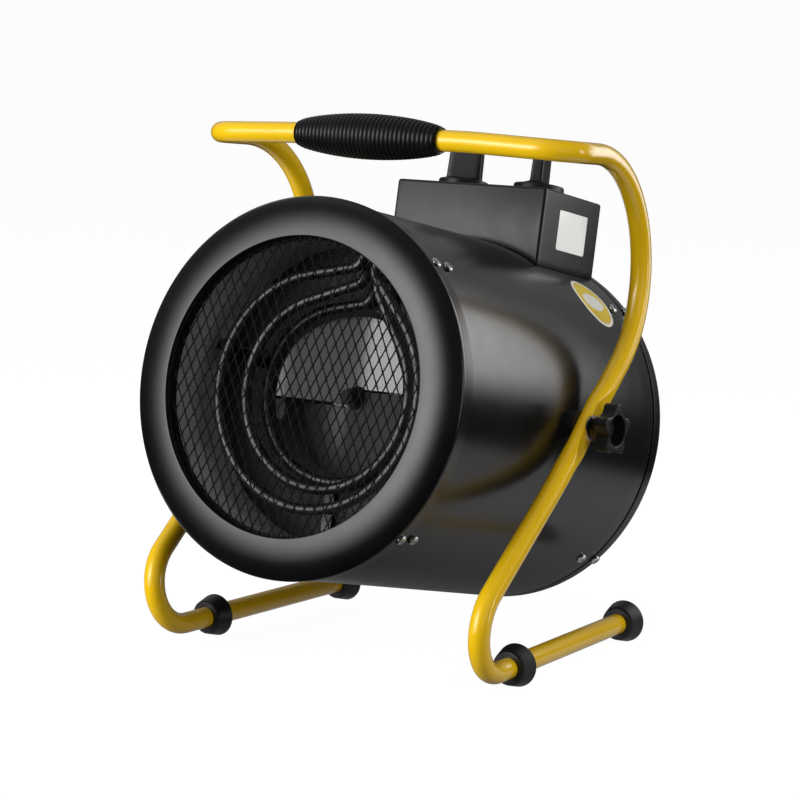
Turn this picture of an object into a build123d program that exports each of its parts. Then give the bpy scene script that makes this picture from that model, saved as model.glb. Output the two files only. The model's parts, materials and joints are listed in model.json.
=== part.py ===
from build123d import *
import math
import os

os.makedirs("parts", exist_ok=True)

# Portable forced air heater: a round barrel on a bent tube frame.
# Millimetres, +Z up, the air outlet faces -Y, X runs across the heater.
# Origin: centre of the foot print on the floor.

# ---------------------------------------------------------------- dimensions
TUBE_R = 8.0            # frame tube, outside radius
TUBE_WALL = 1.5
Y0 = 95.22              # shifts the whole heater so that the origin is centred
TILT = 12.13            # outlet raised by this angle at rest
PIVOT_Y, PIVOT_Z = -86.4, 183.4
PIVOT_X = 149.5         # tube centre at the pivot
FLAT = 4.75             # half thickness of the flattened tube at the pivot

DRUM_R, DRUM_T = 138.3, 1.2
DRUM_FRONT, DRUM_REAR = -163.0, 129.1
BEZEL_R, LIP_R = 140.4, 109.6
BEZEL_S, LIP_S = -164.4, -175.5
SKIRT_END = -151.3
SHEET = 1.2
MESH_S, MESH_T = -168.6, 1.0
MESH_SWD, MESH_LWD, MESH_WEB = 8.6, 17.2, 1.1
LINER_R = 113.0
BAFFLE_S = -100.0
ORIFICE_R = 66.5
REAR_END = 142.8
RINGS = [(-139.4, 86.8, 30.0), (-127.0, 71.0, 38.0), (-108.5, 65.0, 30.0)]   # axial place, radius, angle where the ends leave the circle
ROD_R = 4.0
FAN_R, FAN_S, FAN_SLOPE = 63.5, -89.0, 0.13
BOX_X, BOX_F, BOX_B, BOX_TOP = 67.8, 38.6, 129.1, 181.4
KNOB_X, KNOB_S = 34.6, 84.2
SCREW_ANGLES = (45, 135, 225, 315)
FLANGE_SCREW_S, FRONT_SCREW_S = -157.4, -139.7
REAR_SCREW_S, RING_SCREW_S = 112.3, 134.6
FOOT_R = 16.3
TERMINAL = 18.0         # angle of the element terminals, from the top towards +X
LEAD = 6.5              # half distance between the two leads of each ring
LEAD_BEND, LEAD_END = 9.0, 118.0

# ------------------------------------------------------------------- helpers
BARREL = Location((0, PIVOT_Y + Y0, PIVOT_Z)) * Rotation(-TILT, 0, 0)


def save(name, *shapes):
    solids = []
    for shape in shapes:
        solids += list(shape.solids())
    body = solids[0] if len(solids) == 1 else Compound(children=solids)
    body.label = name
    export_step(body, f"parts/{name}.step")
    return body


def barrel(name, *shapes):
    return save(name, *[BARREL * s for shape in shapes for s in shape.solids()])


def cyl(r, s0, s1, x=0.0, n=0.0):
    """cylinder along the barrel's axis (local Y) from s0 to s1"""
    return Pos(x, (s0 + s1) / 2, n) * (Rotation(90, 0, 0) * Cylinder(r, s1 - s0))


def tube(r1, r0, s0, s1, x=0.0, n=0.0):
    return cyl(r1, s0, s1, x, n) - cyl(r0, s0 - 1, s1 + 1, x, n)


def xcyl(r, x0, x1, y=0.0, z=0.0):
    return Pos((x0 + x1) / 2, y, z) * (Rotation(0, 90, 0) * Cylinder(r, x1 - x0))


def box(x0, x1, y0, y1, z0, z1):
    return Pos((x0 + x1) / 2, (y0 + y1) / 2, (z0 + z1) / 2) * Box(x1 - x0, y1 - y0, z1 - z0)


def ring(points):
    """solid of revolution about local Y from (radius, s) corner points"""
    wire = Polyline([(r, s) for r, s in points], close=True)
    return revolve(make_face(wire), Axis.Y, 360)


def radial(shape, angle, s):
    """put a shape drawn along +Z at an angle round the barrel; 0 is up, + is to +X"""
    return Pos(0, s, 0) * (Rotation(0, angle, 0) * shape)


def mirror_x(shape):
    return mirror(shape, Plane.YZ)


# --------------------------------------------------------------- frame tubes
P = [(0, -143.1, 394.3), (79.5, -143.1, 394.3), (160.8, -140.9, 391.3),
     (148.8, 27.6, 375.8), (153.3, -26.7, 241.8), (147.0, -123.7, 147.1),
     (145.1, -292.7, 16.0), (131.2, 14.8, 16.0)]
BEND = [300.0, 27.2, 88.8, 112.2, 251.2, 34.6]
path = [(x, y + Y0, z) for x, y, z in P]
frame_line = FilletPolyline(*path, radius=BEND)
start = Plane(origin=path[0], z_dir=(1, 0, 0))
rod = sweep(start * Circle(TUBE_R), path=frame_line.wire())
core = sweep(start * Circle(TUBE_R - TUBE_WALL), path=frame_line.wire())
along = (Vector(*path[4]) - Vector(*path[5])).normalized()
flat_plane = Plane(origin=(PIVOT_X, PIVOT_Y + Y0, PIVOT_Z), x_dir=(0, along.Y, along.Z), z_dir=(1, 0, 0))
press = flat_plane * Box(40, 40, 40)
core = core - press
side = rod - core
side = side - flat_plane * (Pos(0, 0, FLAT + 10) * Box(34, 40, 20))
side = side - flat_plane * (Pos(0, 0, -FLAT - 10) * Box(34, 40, 20))
side = side - xcyl(4.3, 130, 170, PIVOT_Y + Y0, PIVOT_Z)
save("frame_half_right", side)
save("frame_half_left", mirror_x(side))
save("frame_spigot", xcyl(TUBE_R - TUBE_WALL - 0.02, -30, 30, -143.1 + Y0, 394.3))

# ---------------------------------------------------------------- hand grip
G0, G1, RIBS = -70.7, 54.9, 34
pts = []
pitch = (G1 - G0) / RIBS
for i in range(RIBS):
    a, b = G0 + i * pitch, G0 + (i + 1) * pitch
    for x, up in ((a + 0.3, 0), (a + 1.1, 1), (b - 1.1, 1), (b - 0.3, 0)):
        t = (x - G0) / (G1 - G0)
        r = 9.4 + 7.8 * max(0.0, math.sin(math.pi * t)) ** 0.65
        pts.append((x, r + (0.0 if up else -0.7)))
outline = [(G0, TUBE_R + 0.03)] + [(G0, pts[0][1])] + pts + [(G1, pts[-1][1])] + [(G1, TUBE_R + 0.03)]
grip = revolve(make_face(Polyline(outline, close=True)), Axis.X, 360)
save("handle_grip", Pos(0, -143.1 + Y0, 394.3) * grip)

# --------------------------------------------------------------------- feet
run = Vector(*path[7]) - Vector(*path[6])
run = run.normalized()
splay = math.degrees(math.atan2(-run.X, run.Y))


def foot(length, blind):
    pts = [(TUBE_R + 0.03, 0), (12.2, 0), (13.4, 1.2), (FOOT_R - 0.2, length - 2.2),
           (FOOT_R, length - 1.4), (FOOT_R - 0.9, length)]
    if blind:
        pts += [(0, length), (0, length - 1.7), (TUBE_R + 0.03, length - 1.7)]
    else:
        pts += [(TUBE_R + 0.03, length)]
    return ring(pts)


def on_runner(y_front, shape):
    k = (y_front + Y0 - path[6][1]) / (path[7][1] - path[6][1])
    x = path[6][0] + k * (path[7][0] - path[6][0])
    put = Location((x, y_front + Y0, 16.0)) * Rotation(0, 0, splay) * shape
    return put - box(x - 40, x + 40, y_front + Y0 - 40, y_front + Y0 + 60, -20, 0)


# the left front foot sits further back on its runner than the right one
rear_foot = on_runner(1.4, foot(15.4, True))
save("foot_front_right", on_runner(-177.5, foot(15.0, False)))
save("foot_front_left", mirror_x(on_runner(-168.0, foot(15.0, False))))
save("foot_rear_right", rear_foot)
save("foot_rear_left", mirror_x(rear_foot))

# ------------------------------------------------- clamps at the tilt pivots
py, pz = PIVOT_Y + Y0, PIVOT_Z
T_OUT, T_IN = PIVOT_X + FLAT, PIVOT_X - FLAT


def spacer_right():
    s = xcyl(12.0, 134.0, T_IN - 0.06) - cyl(DRUM_R + 0.02, -60, 60)
    return s - xcyl(4.3, 120, 170)


spacer = spacer_right()
barrel("pivot_spacer_right", spacer)
barrel("pivot_spacer_left", mirror_x(spacer))
washer = xcyl(9.5, T_OUT + 0.05, T_OUT + 1.4, py, pz) - xcyl(4.3, 150, 170, py, pz)
save("clamp_washer_right", washer)
save("clamp_washer_left", mirror_x(washer))

K0, K1 = T_OUT + 1.46, 178.0


def star_knob():
    face = Circle(15.0)
    for i in range(5):
        a = math.radians(90 + 72 * i)
        face += Pos(14.6 * math.cos(a), 14.6 * math.sin(a)) * Circle(5.4)
    head = extrude(face, 11.5)
    head = fillet(head.edges().group_by(Axis.Z)[-1], 1.0)
    head = head - Pos(0, 0, 11.5 - 0.9) * Cylinder(11.8, 3.0)
    hub = Pos(0, 0, -(K1 - K0 - 11.5) / 2) * Cone(8.6, 11.5, K1 - K0 - 11.5)
    return head + hub


knob = Pos(K1 - 11.5, py, pz) * (Rotation(0, 90, 0) * star_knob())
knob = knob - xcyl(4.0, K0 - 1, K1 - 7, py, pz)
save("clamp_knob_right", knob)
save("clamp_knob_left", mirror_x(knob))
stud = xcyl(3.98, 127.0, K1 - 7.0, py, pz)
save("clamp_stud_right", stud)
save("clamp_stud_left", mirror_x(stud))

# threaded plate inside the drum at each pivot
plate = (cyl(DRUM_R - DRUM_T - 0.03, -20, 20) - cyl(DRUM_R - DRUM_T - 2.03, -30, 30)) & box(120, 140, -20, 20, -19, 19)
plate = plate - xcyl(4.3, 120, 150)
barrel("pivot_plate_right", plate)
barrel("pivot_plate_left", mirror_x(plate))
nut = Pos(131.5, 0, 0) * (Rotation(0, 90, 0) * extrude(RegularPolygon(8.0, 6), 7.0, both=False))
nut = (Pos(-3.5, 0, 0) * nut) & cyl(DRUM_R - DRUM_T - 2.06, -30, 30)
nut = nut - xcyl(4.05, 120, 150)
barrel("pivot_nut_right", nut)
barrel("pivot_nut_left", mirror_x(nut))

# ------------------------------------------------------------------- barrel
drum = tube(DRUM_R, DRUM_R - DRUM_T, DRUM_FRONT, DRUM_REAR)
drum = drum - xcyl(4.3, -160, 160)
hole = Cylinder(2.05, 30)
for a in SCREW_ANGLES:
    for s in (FLANGE_SCREW_S, FRONT_SCREW_S, REAR_SCREW_S):
        drum = drum - radial(Pos(0, 0, 138) * hole, a, s)
drum = drum - Pos(0, 84, 138) * Cylinder(11, 20)      # cable way up into the control box
barrel("drum_shell", drum)


def arc_points(r_out, r_in, s_in, s_out, steps=14):
    """quarter ellipse from (r_out, s_in) round to (r_in, s_out)"""
    out = []
    for i in range(steps + 1):
        t = math.pi / 2 * i / steps
        out.append((r_in + (r_out - r_in) * math.cos(t), s_in + (s_out - s_in) * math.sin(t)))
    return out


outer = arc_points(BEZEL_R, LIP_R + 1.5, BEZEL_S, LIP_S)
inner = arc_points(BEZEL_R - SHEET, LIP_R + 1.5, BEZEL_S, LIP_S + SHEET)
prof = [(DRUM_R + 0.04, SKIRT_END), (DRUM_R + SHEET, SKIRT_END), (DRUM_R + SHEET, BEZEL_S + 2.2)]
prof += outer + [(LIP_R + 0.3, LIP_S + 0.4), (LIP_R, LIP_S + 1.2), (LIP_R, MESH_S - 0.03), (LIP_R + SHEET, MESH_S - 0.03)]
prof += [(LIP_R + SHEET, LIP_S + SHEET + 0.6)] + inner[::-1] + [(DRUM_R + 0.04, BEZEL_S + 1.2)]
bezel = ring(prof)
for a in SCREW_ANGLES:
    bezel = bezel - radial(Pos(0, 0, 138) * hole, a, FLANGE_SCREW_S)
barrel("front_bezel", bezel)

# expanded metal grille: a rim with rows of diamond openings
rim = Circle(LIP_R + 3.0).face().outer_wire()
cells = []
dx, dz = MESH_SWD, MESH_LWD
hx, hz = dx / 2 - MESH_WEB * 0.62, dz / 2 - MESH_WEB * 1.24
for j in range(-14, 15):
    for i in range(-14, 15):
        x = (i + (0.5 if j % 2 else 0.0)) * dx
        z = j * dz / 2
        if math.hypot(abs(x) + hx, z) < 107.6 and math.hypot(x, abs(z) + hz) < 107.6:
            cells.append(Polyline((x - hx, z), (x, z - hz), (x + hx, z), (x, z + hz), close=True).wire())
mesh_face = Face(rim, cells)
grille = Pos(0, MESH_S + MESH_T, 0) * (Rotation(90, 0, 0) * extrude(mesh_face, MESH_T))
barrel("mesh_grille", grille)
barrel("grille_clamp_ring", tube(LIP_R + 3.0, 107.7, MESH_S + MESH_T + 0.02, MESH_S + MESH_T + 3.0))

# inner heat shield with its standoffs
liner = tube(LINER_R, LINER_R - 0.8, MESH_S + MESH_T + 3.05, BAFFLE_S - 0.02)
for s, r, phi in RINGS:
    for sg in (-1, 1):
        liner = liner - Rotation(0, TERMINAL, 0) * (Pos(sg * LEAD, s, 112) * Cylinder(5.0, 24))
barrel("heat_liner", liner)
stand = Pos(0, 0, (LINER_R + DRUM_R - DRUM_T) / 2) * Cylinder(5.0, DRUM_R - DRUM_T - LINER_R + 4)
stand = stand & (cyl(DRUM_R - DRUM_T - 0.03, -50, 50) - cyl(LINER_R + 0.03, -60, 60))
stand = stand - Pos(0, 0, 125) * Cylinder(2.05, 60)
barrel("liner_standoffs", *[radial(stand, a, FRONT_SCREW_S) for a in SCREW_ANGLES])

# fan baffle
baffle = tube(DRUM_R - DRUM_T - 0.05, ORIFICE_R, BAFFLE_S, BAFFLE_S + SHEET)
baffle = baffle + tube(ORIFICE_R + SHEET, ORIFICE_R, BAFFLE_S, BAFFLE_S + 6.0)
baffle = baffle + tube(DRUM_R - DRUM_T - 0.05, DRUM_R - DRUM_T - 0.05 - SHEET, BAFFLE_S, BAFFLE_S + 12.0)
barrel("fan_baffle", baffle)

# ---------------------------------------------------------- heating elements
ta = math.radians(TERMINAL)
out_dir = Vector(math.sin(ta), 0, math.cos(ta))
lat_dir = Vector(math.cos(ta), 0, -math.sin(ta))


def element(s, r, phi):
    """ring tube whose two ends leave the circle in a straight run, turn outwards and go out side by side"""
    p = math.radians(phi)
    corner = (r - LEAD * math.sin(p)) / math.cos(p)     # where the straight run meets the lead's line
    cut = LEAD_BEND * math.tan((math.pi / 2 - p) / 2)
    mid = math.radians(225) - p / 2

    def at(x, z):
        return Vector(0, s, 0) + lat_dir * x + out_dir * z

    def end(sg):
        return (at(sg * LEAD, LEAD_END), at(sg * LEAD, corner + cut),
                at(sg * (LEAD + LEAD_BEND + LEAD_BEND * math.cos(mid)), corner + cut + LEAD_BEND * math.sin(mid)),
                at(sg * (LEAD + cut * math.cos(p)), corner - cut * math.sin(p)),
                at(sg * r * math.sin(p), r * math.cos(p)))

    f0, e0, m0, q0, t0 = end(1)
    f1, e1, m1, q1, t1 = end(-1)
    edges = [Line(f0, e0), ThreePointArc(e0, m0, q0), Line(q0, t0), ThreePointArc(t0, at(0, -r), t1),
             Line(t1, q1), ThreePointArc(q1, m1, e1), Line(e1, f1)]
    section = Plane(origin=f0, z_dir=(-out_dir.X, -out_dir.Y, -out_dir.Z)) * Circle(ROD_R)
    return sweep(section, path=Wire(edges))


for i, (s, r, phi) in enumerate(RINGS):
    barrel(f"heating_element_{i + 1}", element(s, r, phi))

# ceramic bushes that carry the six leads through the heat shield
bushes = []
for s, r, phi in RINGS:
    for sg in (-1, 1):
        one = Pos(sg * LEAD, s, 114.5) * Cylinder(4.98, 12.0) - Pos(sg * LEAD, s, 114.5) * Cylinder(ROD_R + 0.02, 40.0)
        bushes.append(Rotation(0, TERMINAL, 0) * one)
barrel("element_bushes", *bushes)

# radial straps that hold the three rings to the heat shield, with a post to each ring
straps = []
back = RINGS[2][0] + ROD_R + 0.02
for a in (-75, 180, 105):
    st = box(-4, 4, back, back + 1.0, 62.0, LINER_R - 0.85)
    for s, r, phi in RINGS[:2]:
        st = st + box(-4, 4, s + ROD_R + 0.02, back + 0.5, r - 0.8, r + 1.6)
    st = st + box(-4, 4, back - 14.0, back + 1.0, LINER_R - 2.0, LINER_R - 0.85)
    st = st & cyl(LINER_R - 0.83, -160, -90)
    straps.append(Rotation(0, a, 0) * st)
barrel("element_supports", *straps)

# ------------------------------------------------------------ motor and fan
motor = cyl(35.0, -62.0, -2.0) + cyl(11.0, -66.0, -61.0)
motor = motor - cyl(3.05, -80, -20)
for a in range(0, 360, 45):
    motor = motor - Rotation(0, a, 0) * box(-3.2, 3.2, -54, -12, 32.5, 40)
barrel("fan_motor", motor)
strap = box(-15, 15, -1.98, 0.0, -140, 140) + box(-15, 15, -1.98, 20.0, 134.6, 140) + box(-15, 15, -1.98, 20.0, -140, -134.6)
strap = strap & cyl(DRUM_R - DRUM_T - 0.05, -30, 40)
barrel("motor_bracket", strap)


def blade():
    """half disc, cut back past the hub on one side and over the hub on the other, and leaned for pitch"""
    half = cyl(FAN_R, FAN_S - 14, FAN_S + 14)
    half = half & (box(-0.01, 80, FAN_S - 20, FAN_S + 20, 7.0, 80) + box(-80, 0.0, FAN_S - 20, FAN_S + 20, -5.0, 80))
    lean = math.degrees(math.atan(FAN_SLOPE))
    return half & (Pos(0, FAN_S, 0) * (Rotation(0, 0, lean) * Box(160, 1.4, 160)))


fan = blade() + Rotation(0, 180, 0) * blade() + cyl(9.0, FAN_S - 6.5, FAN_S + 9.0)
fan = fan - cyl(3.0, -120, -60)
barrel("fan_wheel", fan)
barrel("motor_shaft", cyl(2.98, FAN_S - 12.0, -24.0))
hexnut = Rotation(90, 0, 0) * extrude(RegularPolygon(5.6, 6), 4.5)
hexnut = Pos(0, FAN_S - 6.53, 0) * hexnut - cyl(3.0, -140, -60)
barrel("fan_nut", hexnut)

# -------------------------------------------------- rear ring and rear guard
IN_R = DRUM_R - DRUM_T - 0.04       # the spigot part slips inside the drum
rear = ring([(IN_R, 120.5), (IN_R, DRUM_REAR + 0.25), (DRUM_R, DRUM_REAR + 0.25),
             (DRUM_R, REAR_END - 3.2), (DRUM_R - 0.5, REAR_END - 1.5), (DRUM_R - 1.6, REAR_END - 0.5),
             (DRUM_R - 3.2, REAR_END), (126.0, REAR_END), (126.0, REAR_END - SHEET),
             (DRUM_R - 3.6, REAR_END - SHEET), (DRUM_R - 2.4, REAR_END - 2.2), (DRUM_R - 2.4, 120.5)])
for a in SCREW_ANGLES:
    rear = rear - radial(Pos(0, 0, 138) * hole, a, RING_SCREW_S)
barrel("rear_ring", rear)
GS = REAR_END - SHEET - 1.75
guard = None
for r in (16, 32, 48, 64, 80, 96, 112, 128):
    t = Pos(0, GS, 0) * (Rotation(90, 0, 0) * Torus(r, 1.6))
    guard = t if guard is None else guard + t
for a in (0, 60, 120):
    guard = guard + Pos(0, GS, 0) * (Rotation(0, a, 0) * Cylinder(1.6, 256))
barrel("rear_guard", guard)

# -------------------------------------------------------------- control box
cover = box(-BOX_X, BOX_X, BOX_F, BOX_B, 90, BOX_TOP)
cover = fillet(cover.edges().filter_by(Axis.Y).group_by(Axis.Z)[-1] + cover.edges().filter_by(Axis.X).group_by(Axis.Z)[-1] + cover.edges().filter_by(Axis.Z), 2.4)
cover = cover - box(-BOX_X + SHEET, BOX_X - SHEET, BOX_F + SHEET, BOX_B - SHEET, 80, BOX_TOP - SHEET)
cover = cover - cyl(DRUM_R + 0.25, 0, 200)
for x in (-KNOB_X, KNOB_X):
    cover = cover - Pos(x, KNOB_S, BOX_TOP) * Cylinder(4.5, 10)
GX, GN = -38.0, 160.0
cover = cover - cyl(8.1, BOX_B - 10, BOX_B + 10, GX, GN)
for x in (-55, 55):
    cover = cover - cyl(2.05, BOX_B - 10, BOX_B + 10, x, 132)
barrel("control_box", cover)
floor = box(-BOX_X + SHEET + 0.3, BOX_X - SHEET - 0.3, BOX_F + SHEET + 0.3, BOX_B - SHEET - 0.3, 139.0, 140.2)
floor = floor + box(-BOX_X + SHEET + 0.3, BOX_X - SHEET - 0.3, BOX_B - SHEET - 1.5, BOX_B - SHEET - 0.3, 124, 140.2)
floor = floor - cyl(DRUM_R + 0.05, 0, 200)
floor = floor - Pos(0, 84, 140) * Cylinder(9.5, 10)
for x in (-55, 55):
    floor = floor - cyl(2.05, BOX_B - 20, BOX_B + 10, x, 132)
barrel("box_floor", floor)

switch = box(-KNOB_X - 21, -KNOB_X + 21, KNOB_S - 21, KNOB_S + 21, 150, BOX_TOP - SHEET - 0.05)
switch = switch - Pos(-KNOB_X, KNOB_S, 170) * Cylinder(3.06, 60)
barrel("mode_switch", switch)
thermo = Pos(KNOB_X, KNOB_S, (152 + BOX_TOP - SHEET - 0.05) / 2) * Cylinder(18, BOX_TOP - SHEET - 0.05 - 152)
thermo = thermo + box(KNOB_X - 10, KNOB_X + 10, KNOB_S - 24, KNOB_S + 24, 160, 172)
thermo = thermo - Pos(KNOB_X, KNOB_S, 170) * Cylinder(3.06, 60)
barrel("thermostat_body", thermo)
barrel("terminal_block", box(-24, 24, 46, 62, 140.25, 156) - box(-20, 20, 50, 58, 150, 160))


def selector(x, turn):
    base = Pos(0, 0, 3.3) * Cylinder(20.2, 6.6)
    base = fillet(base.edges().group_by(Axis.Z)[-1], 1.5)
    grip_ = Rotation(0, 0, turn) * (Pos(0, 0, 18.3) * Box(27.6, 10.2, 24.6))
    grip_ = fillet(grip_.edges().filter_by(Axis.Z), 1.8)
    body = base + grip_
    body = body - Pos(0, 0, 4.0) * Cylinder(3.0, 20)
    return Pos(x, KNOB_S, BOX_TOP + 0.3) * body


barrel("mode_knob", selector(-KNOB_X, 16.5))
barrel("thermostat_knob", selector(KNOB_X, 106.5))
for nm, x in (("mode_spindle", -KNOB_X), ("thermostat_spindle", KNOB_X)):
    barrel(nm, Pos(x, KNOB_S, (165 + BOX_TOP + 14.2) / 2) * Cylinder(2.98, BOX_TOP + 14.2 - 165))

# cord inlet gland on the back of the control box
gl = cyl(8.0, BOX_B - 9.0, BOX_B + 2, GX, GN)
hexa = Pos(GX, BOX_B + 7.05, GN) * (Rotation(90, 0, 0) * extrude(RegularPolygon(12.0, 6), 7.0))
gl = gl + hexa + cyl(10.6, BOX_B + 6.5, BOX_B + 14.0, GX, GN) + Pos(GX, BOX_B + 15.9, GN) * (Rotation(-90, 0, 0) * Cone(10.6, 7.4, 4.0))
gl = gl - cyl(4.6, BOX_B - 30, BOX_B + 40, GX, GN)
barrel("cord_gland", gl)
gn = Pos(GX, BOX_B - SHEET - 0.05, GN) * (Rotation(90, 0, 0) * extrude(RegularPolygon(11.5, 6), 4.0))
gn = gn - cyl(8.02, BOX_B - 30, BOX_B + 10, GX, GN)
barrel("gland_nut", gn)

# over-temperature cut-out on the baffle and the thermostat's sensing bulb
cut = cyl(8.0, BAFFLE_S + SHEET + 0.05, BAFFLE_S + 9.0, -88.0, 62.0) + box(-90.5, -85.5, BAFFLE_S + 8.5, BAFFLE_S + 17.0, 57.6, 58.4) + box(-90.5, -85.5, BAFFLE_S + 8.5, BAFFLE_S + 17.0, 65.6, 66.4)
barrel("thermal_cutout", cut)
barrel("sensor_bulb", xcyl(3.2, -32, 32, 112.0, 122.0))
clips = []
for x in (-24, 24):
    c = xcyl(4.3, x - 3, x + 3, 112.0, 122.0) + box(x - 3, x + 3, 110.8, 113.2, 124, 140)
    c = (c - xcyl(3.25, x - 5, x + 5, 112.0, 122.0)) & cyl(DRUM_R - DRUM_T - 0.03, 80, 125)
    clips.append(c)
barrel("bulb_clips", *clips)

# ------------------------------------------------------------------ screws


def pan(z0, length):
    head = Pos(0, 0, z0 + 1.3) * Cylinder(4.2, 2.6)
    head = fillet(head.edges().group_by(Axis.Z)[-1], 1.6)
    slot = Pos(0, 0, z0 + 2.4) * Box(4.4, 1.0, 1.6) + Pos(0, 0, z0 + 2.4) * Box(1.0, 4.4, 1.6)
    return head - slot + Pos(0, 0, z0 - length / 2 + 0.3) * Cylinder(1.95, length)


def seat(screw, outer_r):
    """trims the underside of the head to the round wall, and keeps the shank"""
    wall = cyl(outer_r, -20, 20) - (Pos(0, 0, 125) * Cylinder(1.96, 60))
    return screw - wall


bez = seat(pan(DRUM_R + SHEET + 0.0, 7.0), DRUM_R + SHEET + 0.03)
frt = seat(pan(DRUM_R + 0.0, 20.0), DRUM_R + 0.03)
rea = seat(pan(DRUM_R + 0.0, 6.0), DRUM_R + 0.03)
barrel("bezel_screws", *[radial(bez, a, FLANGE_SCREW_S) for a in SCREW_ANGLES])
barrel("liner_screws", *[radial(frt, a, FRONT_SCREW_S) for a in SCREW_ANGLES])
barrel("rear_screws", *[radial(rea, a, s) for a in SCREW_ANGLES for s in (REAR_SCREW_S, RING_SCREW_S)])
bx = Rotation(-90, 0, 0) * pan(0, 7.0)
barrel("box_screws", *[Pos(x, BOX_B + 0.03, 132) * bx for x in (-55, 55)])
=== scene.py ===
import json
import math

import bmesh
import bpy
import numpy as np
from mathutils import Matrix, Vector


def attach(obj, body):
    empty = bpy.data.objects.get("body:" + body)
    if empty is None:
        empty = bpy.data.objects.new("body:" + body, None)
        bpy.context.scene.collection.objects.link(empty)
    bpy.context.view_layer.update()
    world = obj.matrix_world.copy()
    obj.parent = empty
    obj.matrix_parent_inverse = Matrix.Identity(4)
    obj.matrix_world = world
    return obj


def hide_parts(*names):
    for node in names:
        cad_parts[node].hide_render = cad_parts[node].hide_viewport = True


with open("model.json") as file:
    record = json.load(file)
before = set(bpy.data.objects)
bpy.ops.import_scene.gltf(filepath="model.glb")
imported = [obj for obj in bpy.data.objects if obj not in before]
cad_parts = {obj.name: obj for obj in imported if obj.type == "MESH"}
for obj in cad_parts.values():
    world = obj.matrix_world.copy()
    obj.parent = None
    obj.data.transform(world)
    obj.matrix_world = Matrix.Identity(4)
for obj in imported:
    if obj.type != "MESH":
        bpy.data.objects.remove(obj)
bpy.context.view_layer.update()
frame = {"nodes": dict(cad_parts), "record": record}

# A black drum heater in a yellow tube frame. Sizes in millimetres here, in metres in Blender.
Y0 = 95.22
TILT = math.radians(12.13)
CT, ST = math.cos(TILT), math.sin(TILT)
PIVOT_X, PIVOT_Y, PIVOT_Z = 149.5, -86.4 + Y0, 183.4
DRUM_R, DRUM_T, SHEET = 138.3, 1.2, 1.2
BEZEL_R, LIP_R, BEZEL_S, LIP_S = 140.4, 109.6, -164.4, -175.5
MESH_S = -168.6
REAR_END = 142.8
BOX_X, BOX_F, BOX_B, BOX_TOP = 67.8, 38.6, 129.1, 181.4
KNOB_X, KNOB_S = 34.6, 84.2


# ------------------------------------------------------------------ geometry
def W(p):
    """barrel coordinates (across, along the axis, up from the axis), mm, to the row frame, metres"""
    p = np.asarray(p, float)
    x, s, n = p[..., 0], p[..., 1], p[..., 2]
    return np.stack([x, PIVOT_Y + s * CT + n * ST, PIVOT_Z - s * ST + n * CT], -1) * 0.001


def R(p):
    """row frame, mm to metres"""
    return np.asarray(p, float) * 0.001


def build(name, verts, faces, sharp=32.0, merge=1e-7):
    me = bpy.data.meshes.new(name)
    me.from_pydata(np.asarray(verts, float).reshape(-1, 3).tolist(), [], faces)
    bm = bmesh.new()
    bm.from_mesh(me)
    bmesh.ops.remove_doubles(bm, verts=bm.verts, dist=merge)
    bmesh.ops.dissolve_degenerate(bm, dist=merge, edges=bm.edges)
    bmesh.ops.recalc_face_normals(bm, faces=bm.faces)
    bm.to_mesh(me)
    bm.free()
    me.shade_smooth()
    me.set_sharp_from_angle(angle=math.radians(sharp))
    ob = bpy.data.objects.new(name, me)
    bpy.context.scene.collection.objects.link(ob)
    return ob


def rings_mesh(rings, closed=True, cap0=False, cap1=False):
    """rings: (K, N, 3). Quads between rings; closed joins the last ring to the first."""
    rings = np.asarray(rings, float)
    k, n = rings.shape[:2]
    faces = []
    last = k if closed else k - 1
    for i in range(last):
        a, b = i * n, ((i + 1) % k) * n
        for j in range(n):
            j2 = (j + 1) % n
            faces.append((a + j, a + j2, b + j2, b + j))
    if cap0:
        faces.append(tuple(range(n)))
    if cap1:
        faces.append(tuple((k - 1) * n + j for j in range(n)))
    return rings.reshape(-1, 3), faces


def rounded(points, seg=5):
    """closed or open polygon of (a, b, radius) corners, to a fine outline; the first and last keep their place if radius is 0"""
    out = []
    m = len(points)
    for i in range(m):
        a, b, r = points[i]
        p = np.array([a, b], float)
        if r <= 0:
            out.append(p)
            continue
        q0 = np.array(points[(i - 1) % m][:2], float)
        q1 = np.array(points[(i + 1) % m][:2], float)
        u, v = (q0 - p) / np.linalg.norm(q0 - p), (q1 - p) / np.linalg.norm(q1 - p)
        turn = math.pi - math.acos(max(-1, min(1, float(u @ v))))
        if turn < 1e-3:
            out.append(p)
            continue
        t = r * math.tan(turn / 2)
        t = min(t, 0.49 * np.linalg.norm(q0 - p), 0.49 * np.linalg.norm(q1 - p))
        r = t / math.tan(turn / 2)
        centre = p + (u + v) / np.linalg.norm(u + v) * r / math.cos(turn / 2)
        e1 = (p + u * t - centre) / r
        w = (p + v * t - centre) / r
        e2 = (w - e1 * math.cos(turn)) / math.sin(turn)
        k = max(2, int(seg * turn / 1.2))
        for j in range(k + 1):
            f = turn * j / k
            out.append(centre + r * (math.cos(f) * e1 + math.sin(f) * e2))
    return np.array(out)


def revolve_barrel(profile, n=256):
    """closed profile of (r, s) about the barrel's axis"""
    profile = np.asarray(profile, float)
    t = np.linspace(0, 2 * math.pi, n, endpoint=False)
    r, s = profile[:, 0][:, None], profile[:, 1][:, None]
    rings = np.stack([r * np.sin(t)[None], np.repeat(s, n, 1), r * np.cos(t)[None]], -1)
    return rings_mesh(W(rings))


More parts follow.
